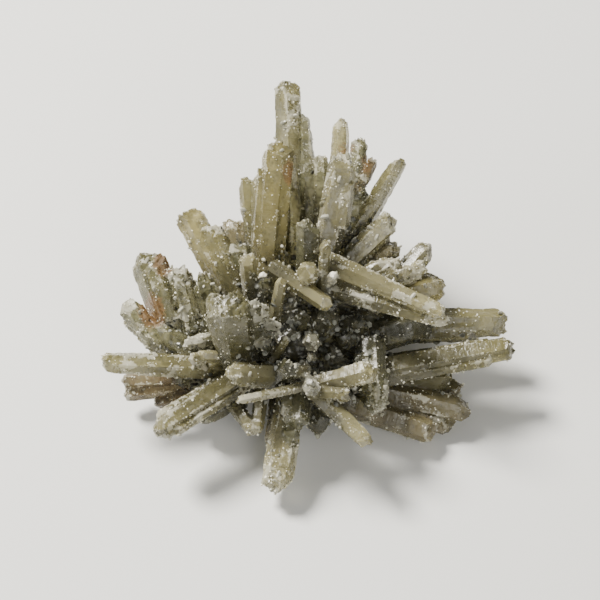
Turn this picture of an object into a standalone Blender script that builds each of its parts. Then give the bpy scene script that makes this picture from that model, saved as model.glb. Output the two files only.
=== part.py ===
# Radiating quartz cluster: crystals grown together out of one broken root, lying on the flat break.
#
# The crystals are laid out in the frame of the open face, in millimetres: right, up along the face,
# and out of the face, all from the point that they radiate from. FACE_TILT stands that frame on the
# ground, which flattens the underside of the root where it broke from its rock.

import math
import random
from collections import namedtuple

import bmesh
import bpy
from mathutils import Matrix, Vector

MM = 0.001
FACE_TILT = math.radians(35)
CENTRE_HEIGHT = 13 * MM
GROUND_SIZE = 200 * MM

ROOT_CENTRE = (0, 1.8, -8)
ROOT_RADII = (15, 12, 10.5)
ROOT_ROUGHNESS = 0.07

RHOMB_SLOPE = math.radians(51.8)
CORNER_RADIUS = 0.535
CORNER_SPREAD = 0.07
WIDEST_LEAN = 0.85
BLADE_OFFSET = 0.36

POINT, CHISEL, BLUNT, BROKEN = "point", "chisel", "blunt", "broken"

# foot and tip are the ends of the axis, and each width is across the crystal there. turn rolls it
# about its axis, in degrees, and blades counts the thinner crystals grown along its side.
Crystal = namedtuple("Crystal", "foot tip foot_width tip_width end turn blades")

SPIRE = {
    "spire": Crystal((-1.4, 8, -8), (-2.7, 49.6, -7), 6.4, 4.8, BLUNT, 25, 2),
    "spire_shoulder": Crystal((2.2, 10, -6), (0.3, 43.4, -6.5), 6.6, 2.2, POINT, 10, 1),
    "spire_heel": Crystal((3.4, 10, -6), (3.3, 35.8, -5.5), 5.6, 2.6, BLUNT, 0, 2),
    "amber": Crystal((-6.6, 10, 1), (-4.3, 37.9, 0), 5.2, 5.4, POINT, -12, 1),
    "amber_flank": Crystal((-7.6, 10, -3), (-8.4, 31.4, -3), 3.6, 2.2, BLUNT, 15, 0),
    "amber_shade": Crystal((-7.8, 10, -4), (-10.6, 31.3, -4), 4.2, 2.6, BROKEN, 0, 1),
}

TOP_RIGHT = {
    "pale_leaner": Crystal((3.2, 12, 2), (7.8, 35.2, 3), 4.6, 5.4, BLUNT, 5, 2),
    "high_finger": Crystal((6.4, 14, -5), (7.3, 42.7, -7), 4.6, 2.8, POINT, 10, 0),
    "rust_tooth": Crystal((7.6, 14, -4), (10.8, 38.6, -4), 4.8, 3.4, BROKEN, 30, 1),
    "rust_spur": Crystal((9.4, 26, -4), (13.4, 34.8, -2), 3.2, 1.8, BROKEN, 0, 0),
    "far_finger": Crystal((7.0, 16, -4), (18.6, 34.6, -2), 5.0, 2.8, BLUNT, 10, 1),
    "brown_back": Crystal((6.0, 12, -5), (11.2, 29.5, -4), 7.4, 4.2, BROKEN, 15, 1),
}

RIGHT_UPPER = {
    "pale_ray": Crystal((5.5, 13, 0), (16.8, 23.9, 1), 4.4, 3.2, CHISEL, 10, 1),
    "pale_ray_low": Crystal((7, 12, 0), (16.0, 20.9, -1), 4.2, 2.2, POINT, 0, 1),
    "rose_ray": Crystal((7.5, 11, -1), (17.6, 19.0, -1), 4.6, 2.8, POINT, 20, 1),
    "grain_ray": Crystal((8, 9, 1), (18.4, 15.2, 2), 4.8, 4.0, BLUNT, 10, 2),
    "ring_ray": Crystal((10, 10, 2), (23.1, 14.7, 3), 3.2, 2.6, BLUNT, 0, 1),
    "gable_ray": Crystal((11, 5, -2), (23.9, 18.8, -2), 5.6, 3.6, POINT, 30, 1),
    "saw_ray": Crystal((10, 7, -3), (26.9, 11.4, -3), 7.0, 4.2, BROKEN, 10, 3),
    "white_knob": Crystal((14, 7, 0), (22.2, 8.6, 3), 3.6, 2.2, BLUNT, 0, 0),
}

DIAGONAL = {
    "long_upper": Crystal((4.2, 15.2, 6), (26.2, 5.7, 12), 4.6, 2.8, POINT, 20, 1),
    "long_lower": Crystal((3.5, 11, 5), (26.6, 4.3, 11), 4.2, 2.6, CHISEL, 35, 1),
}

RIGHT = {
    "right_upper_beam": Crystal((9, 3.5, -5), (38.3, 4.2, -5), 6.4, 4.8, CHISEL, 5, 2),
    "right_lower_beam": Crystal((9, -6, 0), (39.4, -0.4, 0), 6.6, 4.6, BROKEN, 30, 2),
    "right_wedge": Crystal((5, 0, -3), (24.0, 4.2, 0), 8.0, 5.6, CHISEL, 10, 1),
    "right_under_beam": Crystal((8, -6, -3), (28.2, -6.4, -3), 6.0, 4.4, POINT, 20, 1),
}

LOWER_RIGHT = {
    "slab_high": Crystal((6, -7, -2), (31.3, -12.6, -2), 6.0, 4.6, BROKEN, 10, 2),
    "slab_low": Crystal((5, -9.5, -1), (24.8, -16.6, 0), 5.6, 4.4, BROKEN, 0, 1),
    "slab_back": Crystal((7, -6, -5), (29.8, -8.8, -6), 5.8, 4.0, CHISEL, 20, 1),
    "slab_fill": Crystal((6, -9, -2), (28.4, -15.0, -3), 5.6, 4.4, BROKEN, 20, 1),
}

BOTTOM = {
    "bottom_tooth": Crystal((-1.6, -5, 2), (-4.9, -27.3, 8), 5.0, 5.6, POINT, 5, 1),
    "bottom_ridge": Crystal((-0.4, -4, 3), (-1.4, -15.4, 8), 5.6, 5.0, BROKEN, 15, 1),
    "bottom_rose": Crystal((-3.5, -5, 0), (-5.6, -18.4, 4), 3.6, 2.8, BLUNT, 0, 0),
    "bottom_fill": Crystal((1.0, -4, 0), (3.6, -16.8, 1), 6.0, 4.6, BROKEN, 20, 2),
    "vee_left": Crystal((-14.0, -8.5, 2), (-8.4, -16.6, 6), 3.2, 2.4, POINT, 0, 0),
    "vee_right": Crystal((-7.4, -6, 2), (-8.3, -16.4, 6), 3.0, 2.2, BLUNT, 10, 0),
}

FRONT_LOW = {
    "low_prism": Crystal((1.8, -8.0, 7), (12.5, -18.1, 12), 3.4, 2.8, POINT, 20, 0),
    "low_rung": Crystal((2.2, -7.0, 9), (-12.0, -9.9, 13), 2.2, 1.7, BROKEN, 25, 0),
    "low_peg": Crystal((1.2, -8.4, 9), (8.8, -9.0, 11), 2.6, 2.2, CHISEL, 10, 0),
    "low_eye": Crystal((1.2, -6.4, 0), (1.7, -7.7, 16), 3.6, 3.0, BLUNT, 0, 1),
    "low_club": Crystal((1.0, -5.2, 6), (-13.7, -4.9, 13), 3.4, 4.2, BLUNT, 15, 1),
    "low_cleaver": Crystal((2.0, -7.4, 7), (13.5, -4.3, 12), 3.6, 4.2, BLUNT, 20, 1),
    "low_chisel": Crystal((-6.0, -6.8, 6), (-1.6, -3.4, 13), 3.6, 3.4, CHISEL, 0, 0),
    "low_pendant": Crystal((12.6, 1, 2), (13.3, -12.4, 8), 5.2, 4.4, BROKEN, 10, 2),
}

CENTRE = {
    "hex_eye": Crystal((1.6, 1.5, -3), (1.9, 0.3, 12), 3.4, 2.9, BLUNT, 0, 0),
    "hex_eye_small": Crystal((1.4, -1.8, -3), (1.8, -2.4, 6), 2.4, 1.8, BLUNT, 0, 0),
    "match_low": Crystal((-7.0, -5, 4), (-2.7, 1.6, 9), 1.9, 1.6, BLUNT, 0, 0),
    "match_high": Crystal((-5.2, 4, 5), (-3.7, 12.3, 11), 2.4, 1.8, POINT, 10, 0),
    "cross_prism": Crystal((-5.5, 14.4, 6), (5.2, 7.0, 10), 3.2, 2.8, BLUNT, 5, 0),
    "dark_stub": Crystal((1.0, 0.5, -2), (5.4, 6.4, 7), 6.6, 4.6, BROKEN, 10, 2),
    "dark_shelf": Crystal((0.5, 2, -3), (0.2, 6.2, 5), 5.4, 4.0, BROKEN, 30, 1),
    "dark_slab": Crystal((2, 0, -6), (8.2, -3.0, 3), 8.0, 6.0, BROKEN, 10, 1),
    "grey_block": Crystal((6, 0, -6), (10.6, 4.6, 5), 7.4, 5.4, BROKEN, 20, 2),
    "grain_eye": Crystal((1.4, 9, -1), (1.0, 14.2, 12), 4.4, 3.6, BLUNT, 0, 1),
    "glass_tooth": Crystal((1.2, 8, 1), (0.8, 23.4, 8), 4.6, 3.4, BLUNT, 10, 1),
    "pale_post": Crystal((3.8, 7, 5), (4.2, 19.2, 11), 2.3, 1.9, BLUNT, 5, 0),
    "milk_bead": Crystal((4.4, 11, 3), (5.8, 12.9, 11), 2.4, 1.9, BLUNT, 0, 0),
    "cap_stub": Crystal((-8.8, 7, 1), (-10.2, 16.4, 8), 3.8, 3.0, BLUNT, 0, 1),
    "left_knot": Crystal((-5, 4, -3), (-7.4, 12.2, 7), 4.6, 3.2, BROKEN, 10, 1),
}

FRONT_BLOCK = {
    "block": Crystal((-10.8, -7.5, 1), (-13.4, 9.4, 17), 4.6, 9.2, BLUNT, 10, 0),
    "block_cheek": Crystal((-12.0, -6, 2), (-16.0, 9.4, 15), 3.6, 4.4, POINT, 0, 0),
    "block_shoulder": Crystal((-9.5, -3, 4), (-8.6, 8.2, 14), 4.0, 4.6, BROKEN, 30, 1),
    "block_side": Crystal((-8.6, 1, 2), (-5.6, 3.6, 11), 4.6, 4.2, BLUNT, 20, 1),
    "block_toe": Crystal((-8.4, -3, 2), (-6.2, 0.2, 9), 3.2, 2.6, BROKEN, 0, 0),
}

UPPER_LEFT = {
    "blade_left": Crystal((-9.5, 4, -4), (-21.3, 25.0, -4), 5.6, 4.6, CHISEL, 5, 1),
    "blade_right": Crystal((-8.4, 4, -3), (-17.4, 22.4, -2), 6.4, 4.0, BROKEN, 20, 2),
    "rose_back": Crystal((-6.5, 8, -7), (-14.6, 23.3, -8), 4.4, 3.6, BLUNT, 0, 1),
    "rose_side": Crystal((-6.4, 8, -5), (-11.6, 22.9, -5), 4.2, 3.0, BROKEN, 10, 1),
    "fill_side": Crystal((-6.0, 6, -2), (-12.4, 18.8, 0), 5.0, 3.6, BROKEN, 10, 1),
}

LEFT = {
    "rust_pillar": Crystal((-21.5, -4, -4), (-29.2, 17.3, -2), 6.2, 6.2, BROKEN, 0, 2),
    "white_cap": Crystal((-17.5, -4, -2), (-23.5, 14.8, 0), 5.4, 4.4, BLUNT, 10, 2),
    "white_cap_small": Crystal((-14.5, -2, 0), (-18.7, 13.8, 4), 4.8, 3.8, BROKEN, 0, 2),
    "left_thumb": Crystal((-20, -6, -1), (-33.2, 7.9, 0), 6.0, 4.0, BLUNT, 15, 2),
    "left_heel": Crystal((-16, -4, 0), (-28.2, 3.2, 1), 5.0, 3.6, BROKEN, 0, 1),
    "left_beam": Crystal((-8, -4.2, 2), (-37.0, -3.1, 5), 5.0, 3.8, BROKEN, 20, 2),
    "left_beam_bead": Crystal((-18, -3, 3), (-20.0, -2.2, 9), 2.8, 2.2, BLUNT, 0, 0),
    "left_rung": Crystal((-11, -2, 5), (-19.2, -1.9, 8), 2.4, 2.0, BLUNT, 0, 0),
    "left_log": Crystal((-10, 2.6, 2), (-22.2, 0.2, 4), 2.8, 2.2, BROKEN, 10, 0),
}

LOWER_LEFT = {
    "brown_high": Crystal((-10, -5.6, -3), (-33.8, -6.8, -3), 3.8, 2.6, BROKEN, 0, 1),
    "brown_low": Crystal((-10, -6, -4), (-33.3, -9.4, -4), 3.8, 2.6, BLUNT, 10, 1),
    "brown_fill": Crystal((-9, -6, -2), (-27.5, -11.2, 0), 4.0, 2.8, BROKEN, 20, 1),
    "mitten": Crystal((-8, -4.2, 3), (-26.6, -15.7, 10), 5.2, 4.4, BLUNT, 20, 2),
    "mitten_shade": Crystal((-8, -6.2, -1), (-19.9, -14.2, 1), 5.2, 3.6, BROKEN, 0, 1),
}

BACK = {
    "back_left": Crystal((0, 3, -6), (-17, 13.5, -13), 7.0, 5.0, POINT, 0, 1),
    "back_left_high": Crystal((0, 4, -6), (-9, 20, -16), 6.6, 4.4, BLUNT, 20, 2),
    "back_middle": Crystal((1, 4, -6), (1, 24, -18), 7.0, 5.0, POINT, 10, 1),
    "back_right_high": Crystal((2, 4, -6), (9.5, 20.5, -15), 6.6, 4.2, BROKEN, 0, 1),
    "back_right": Crystal((2, 3, -6), (16, 13, -13), 6.6, 4.8, POINT, 15, 1),
    "back_far_right": Crystal((3, 1, -6), (21.5, 4.6, -10), 6.2, 4.6, BLUNT, 0, 1),
    "back_far_left": Crystal((-3, 1, -6), (-21.5, 4.6, -10), 6.2, 4.4, CHISEL, 0, 1),
    "back_low_left": Crystal((-3, 0, -6), (-19.5, -2.6, -8), 5.4, 4.2, BLUNT, 0, 0),
    "back_spire": Crystal((-2, 8, -8), (-4.4, 31, -13), 5.8, 4.0, BLUNT, 0, 2),
    "back_finger": Crystal((3, 8, -8), (5.2, 29.5, -13), 5.4, 3.6, POINT, 0, 1),
    "back_stub_left": Crystal((0, 4, -8), (-8, 14.5, -18), 8.0, 6.4, BROKEN, 5, 0),
    "back_stub_right": Crystal((0, 4, -8), (8, 13.5, -18), 8.0, 6.0, BROKEN, 25, 0),
}

SPRAYS = (
    SPIRE, TOP_RIGHT, RIGHT_UPPER, DIAGONAL, RIGHT, LOWER_RIGHT, BOTTOM,
    FRONT_LOW, CENTRE, FRONT_BLOCK, UPPER_LEFT, LEFT, LOWER_LEFT, BACK,
)


def cut_away(bm, point, normal):
    """Cuts off what lies on the normal's side of the plane and closes the cut with one flat face."""
    everything = bm.verts[:] + bm.edges[:] + bm.faces[:]
    made = bmesh.ops.bisect_plane(bm, geom=everything, plane_co=point, plane_no=normal, clear_outer=True)
    rim = [item for item in made["geom_cut"] if isinstance(item, bmesh.types.BMEdge)]
    if rim:
        bmesh.ops.contextual_create(bm, geom=rim)


def leaning(angle, lean):
    """The direction that leans from the crystal's axis by lean, towards angle around it."""
    return Vector((math.cos(angle) * math.sin(lean), math.sin(angle) * math.sin(lean), math.cos(lean)))


def cut_crystal_tip(bm, length, width, end, rng):
    """Six sloping faces like quartz's own: three large and three small, or two large on a chisel."""
    large = (0, 2, 4) if end == POINT else (0, 3)
    for side in range(6):
        rise = rng.uniform(-0.05, 0.1) if side in large else rng.uniform(0.18, 0.4)
        if end == CHISEL and side not in large:
            rise += 0.25
        angle = math.radians(60 * side + 30)
        cut_away(bm, Vector((0, 0, length + rise * width)), leaning(angle, RHOMB_SLOPE))


def cut_worn_tip(bm, length, width, end, rng):
    """One rough face across the end, steep on a broken crystal, with its corners knocked off."""
    lean = math.radians(rng.uniform(6, 18) if end == BLUNT else rng.uniform(22, 38))
    angle = rng.uniform(0, math.tau)
    cut_away(bm, Vector((0, 0, length - 0.04 * width)), leaning(angle, lean))
    for corner in range(4):
        angle += math.radians(rng.uniform(60, 100))
        chip = Vector((0, 0, length + width * rng.uniform(0.05, 0.28)))
        cut_away(bm, chip, leaning(angle, math.radians(rng.uniform(42, 62))))


def add_prism(bm, place, length, foot_width, tip_width, end, rng):
    """Adds one six-sided crystal, standing along +Z of the matrix place, to bm."""
    prism = bmesh.new()
    bmesh.ops.create_cone(
        prism,
        cap_ends=True,
        segments=6,
        radius1=foot_width * CORNER_RADIUS,
        radius2=tip_width * CORNER_RADIUS,
        depth=length,
        matrix=Matrix.Translation((0, 0, length / 2)),
    )
    spread = [rng.uniform(1 - CORNER_SPREAD, 1 + CORNER_SPREAD) for corner in range(6)]
    for vert in prism.verts:
        corner = round(math.atan2(vert.co.y, vert.co.x) / math.radians(60)) % 6
        vert.co.xy *= spread[corner]
    cut_tip = cut_crystal_tip if end in (POINT, CHISEL) else cut_worn_tip
    cut_tip(prism, length, tip_width, end, rng)
    prism.transform(place)
    mesh = bpy.data.meshes.new("prism")
    prism.to_mesh(mesh)
    prism.free()
    bm.from_mesh(mesh)
    bpy.data.meshes.remove(mesh)


def axis_place(foot, tip, turn):
    """The matrix that stands +Z along the crystal, with one corner turned to the open face."""
    axis = (tip - foot).normalized()
    facing = Vector((0, 0, 1)) if abs(axis.z) < WIDEST_LEAN else Vector((0, 1, 0))
    side = (facing - axis * facing.dot(axis)).normalized()
    square = Matrix((side, axis.cross(side), axis)).transposed().to_4x4()
    return Matrix.Translation(foot) @ square @ Matrix.Rotation(math.radians(turn), 4, "Z")


def add_blades(bm, place, length, crystal, rng):
    """Adds the thinner crystals that grow along a crystal's side and end in tips of their own."""
    for blade in range(crystal.blades):
        angle = rng.uniform(0, math.tau)
        start = rng.uniform(0.15, 0.45) * length
        end_at = rng.uniform(0.8, 1.0) * length
        width = crystal.tip_width * rng.uniform(0.5, 0.68)
        offset = BLADE_OFFSET * crystal.tip_width
        shift = Matrix.Translation((offset * math.cos(angle), offset * math.sin(angle), start))
        lean = Matrix.Rotation(math.radians(rng.uniform(-3, 3)), 4, "X")
        end = rng.choice((POINT, BLUNT, CHISEL))
        add_prism(bm, place @ shift @ lean, end_at - start, width * 1.2, width, end, rng)


def add_crystal(bm, name, crystal):
    rng = random.Random(name)
    foot, tip = Vector(crystal.foot), Vector(crystal.tip)
    length = (tip - foot).length
    place = axis_place(foot, tip, crystal.turn)
    add_prism(bm, place, length, crystal.foot_width, crystal.tip_width, crystal.end, rng)
    add_blades(bm, place, length, crystal, rng)


def add_root(bm):
    """Adds the lump of rock and broken crystal that every crystal grows out of."""
    rng = random.Random("root")
    place = Matrix.Translation(ROOT_CENTRE) @ Matrix.Diagonal((*ROOT_RADII, 1))
    made = bmesh.ops.create_icosphere(bm, subdivisions=3, radius=1, matrix=place)
    centre = Vector(ROOT_CENTRE)
    for vert in made["verts"]:
        vert.co = centre + (vert.co - centre) * rng.uniform(1 - ROOT_ROUGHNESS, 1 + ROOT_ROUGHNESS)


def quartz_material():
    material = bpy.data.materials.new("smoky olive quartz")
    material.use_nodes = True
    shader = material.node_tree.nodes["Principled BSDF"]
    shader.inputs["Base Color"].default_value = (0.31, 0.30, 0.21, 1)
    shader.inputs["Roughness"].default_value = 0.35
    shader.inputs["Metallic"].default_value = 0
    material.diffuse_color = (0.31, 0.30, 0.21, 1)
    return material


def new_collection(name):
    collection = bpy.data.collections.new(name)
    bpy.context.scene.collection.children.link(collection)
    return collection


def build_open_face(collection):
    """The empty that tilts the spray onto its break."""
    face = bpy.data.objects.new("open_face", None)
    face.location = (0, 0, CENTRE_HEIGHT)
    face.rotation_euler = (FACE_TILT, 0, 0)
    collection.objects.link(face)
    return face


def build_ground_cutter(collection):
    bpy.ops.mesh.primitive_cube_add(size=GROUND_SIZE, location=(0, 0, -GROUND_SIZE / 2))
    ground = bpy.context.object
    ground.name = "ground_cutter"
    ground.hide_render = True
    ground.display_type = "WIRE"
    for holder in list(ground.users_collection):
        holder.objects.unlink(ground)
    collection.objects.link(ground)
    return ground


def keep_outer_shell(mesh):
    """Fills the pockets sealed in between crystals: of the closed shells, only the largest stays."""
    bm = bmesh.new()
    bm.from_mesh(mesh)
    waiting = set(bm.verts)
    shells = []
    while waiting:
        shell = set()
        reached = [waiting.pop()]
        while reached:
            vert = reached.pop()
            shell.add(vert)
            near = {edge.other_vert(vert) for edge in vert.link_edges} & waiting
            waiting -= near
            reached.extend(near)
        shells.append(shell)
    outer = max(shells, key=len)
    bmesh.ops.delete(bm, geom=[vert for vert in bm.verts if vert not in outer], context="VERTS")
    bm.to_mesh(mesh)
    bm.free()


def build_cluster(collection, face, ground):
    bm = bmesh.new()
    add_root(bm)
    for spray in SPRAYS:
        for name, crystal in spray.items():
            add_crystal(bm, name, crystal)
    bmesh.ops.scale(bm, vec=(MM, MM, MM), verts=bm.verts)
    bmesh.ops.recalc_face_normals(bm, faces=bm.faces)
    loose_mesh = bpy.data.meshes.new("loose crystals")
    bm.to_mesh(loose_mesh)
    bm.free()
    loose_mesh.materials.append(quartz_material())
    loose = bpy.data.objects.new("loose crystals", loose_mesh)
    loose.parent = face
    collection.objects.link(loose)
    # Cutting off what is below the ground also joins the crystals that overlap.
    flatten = loose.modifiers.new("flat break", "BOOLEAN")
    flatten.operation = "DIFFERENCE"
    flatten.solver = "EXACT"
    flatten.use_self = True
    flatten.object = ground
    joined = bpy.data.meshes.new_from_object(loose.evaluated_get(bpy.context.evaluated_depsgraph_get()))
    bpy.data.objects.remove(loose)
    keep_outer_shell(joined)
    joined.name = "quartz_cluster"
    cluster = bpy.data.objects.new("quartz_cluster", joined)
    cluster.parent = face
    collection.objects.link(cluster)
    return cluster


for leftover in list(bpy.data.objects):
    bpy.data.objects.remove(leftover)

parts = new_collection("Radiating quartz cluster")
cutters = new_collection("Cutters")
build_cluster(parts, build_open_face(parts), build_ground_cutter(cutters))
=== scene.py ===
import math
import random

import bmesh
import bpy
import numpy as np
from mathutils import Matrix, Vector, bvhtree, noise


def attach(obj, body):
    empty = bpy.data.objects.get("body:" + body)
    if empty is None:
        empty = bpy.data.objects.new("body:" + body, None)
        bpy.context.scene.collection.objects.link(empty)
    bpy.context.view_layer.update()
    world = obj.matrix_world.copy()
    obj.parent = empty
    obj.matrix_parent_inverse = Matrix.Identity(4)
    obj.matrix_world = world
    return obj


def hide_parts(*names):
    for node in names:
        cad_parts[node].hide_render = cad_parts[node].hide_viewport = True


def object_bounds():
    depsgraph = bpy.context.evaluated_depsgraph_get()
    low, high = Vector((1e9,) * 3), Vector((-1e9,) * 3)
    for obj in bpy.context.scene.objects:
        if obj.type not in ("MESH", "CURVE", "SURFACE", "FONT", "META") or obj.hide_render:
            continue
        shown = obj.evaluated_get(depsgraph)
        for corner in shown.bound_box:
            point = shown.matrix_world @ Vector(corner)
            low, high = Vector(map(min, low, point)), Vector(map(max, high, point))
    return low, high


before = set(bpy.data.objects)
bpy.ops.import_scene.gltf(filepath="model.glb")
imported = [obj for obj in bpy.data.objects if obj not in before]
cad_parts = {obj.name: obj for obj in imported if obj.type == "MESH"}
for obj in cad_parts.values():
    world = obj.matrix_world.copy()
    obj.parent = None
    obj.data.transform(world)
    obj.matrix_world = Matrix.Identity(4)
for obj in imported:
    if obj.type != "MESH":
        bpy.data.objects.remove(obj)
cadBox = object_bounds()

mm = 0.001

# The crystals stand in the frame of the open face, in millimetres: right, up along the face and out
# of it, from the point that they radiate from.
openFace = {
    "tilt": math.radians(35),
    "centreHeight": 13 * mm,
}
faceToWorld = (
    Matrix.Translation((0, 0, openFace["centreHeight"])) @ Matrix.Rotation(openFace["tilt"], 4, "X")
)

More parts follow.
